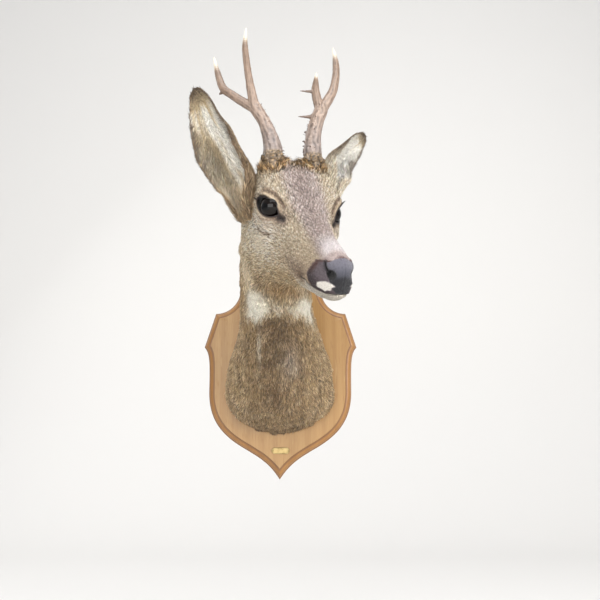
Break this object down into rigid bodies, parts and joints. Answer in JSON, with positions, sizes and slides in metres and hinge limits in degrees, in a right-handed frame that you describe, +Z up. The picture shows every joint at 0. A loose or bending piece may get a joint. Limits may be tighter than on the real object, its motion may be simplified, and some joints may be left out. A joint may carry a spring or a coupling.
{
  "type": "roe deer shoulder mount",
  "caption": "Life-size taxidermy head and neck of a roebuck with six-point antlers, turned to one side, on a carved oak shield with a blank brass plate.",
  "frame": {"origin": "centre of the shield's flat back face, on its middle line, half way between its tip and its top", "axes": "+Z up, +Y into the wall that the shield hangs on, so the deer looks out along -Y with its head turned to +X"},
  "size_m": [0.2065, 0.3401, 0.4693],
  "materials": {
    "oak": "satin varnish, light oak",
    "brass": "dull lacquered brass, blank",
    "neck_coat": "winter hair, grey-brown ticked",
    "head_coat": "short face hair, grey-brown",
    "chin_coat": "short white chin hair",
    "nose_skin": "bare pebbled skin, slightly glossy",
    "ear_coat": "long pale hair inside, short grey-brown hair on the back",
    "eye_glass": "polished dark glass, painted behind",
    "antler": "antler, grey-brown with ivory tips"
  },
  "bodies": {
    "root": {"shield": "oak", "name_plate": "brass", "plate_pin_right": "brass", "plate_pin_left": "brass", "shoulder": "neck_coat", "neck": "neck_coat", "head": "head_coat", "muzzle": "head_coat", "lower_jaw": "chin_coat", "nose_pad": "nose_skin", "ear_right": "ear_coat", "ear_left": "ear_coat", "eye_right": "eye_glass", "eye_left": "eye_glass", "antler_right_burr": "antler", "antler_right_beam": "antler", "antler_right_top": "antler", "antler_right_tine": "antler", "antler_left_burr": "antler", "antler_left_beam": "antler", "antler_left_top": "antler", "antler_left_tine": "antler"}
  },
  "joints": []
}
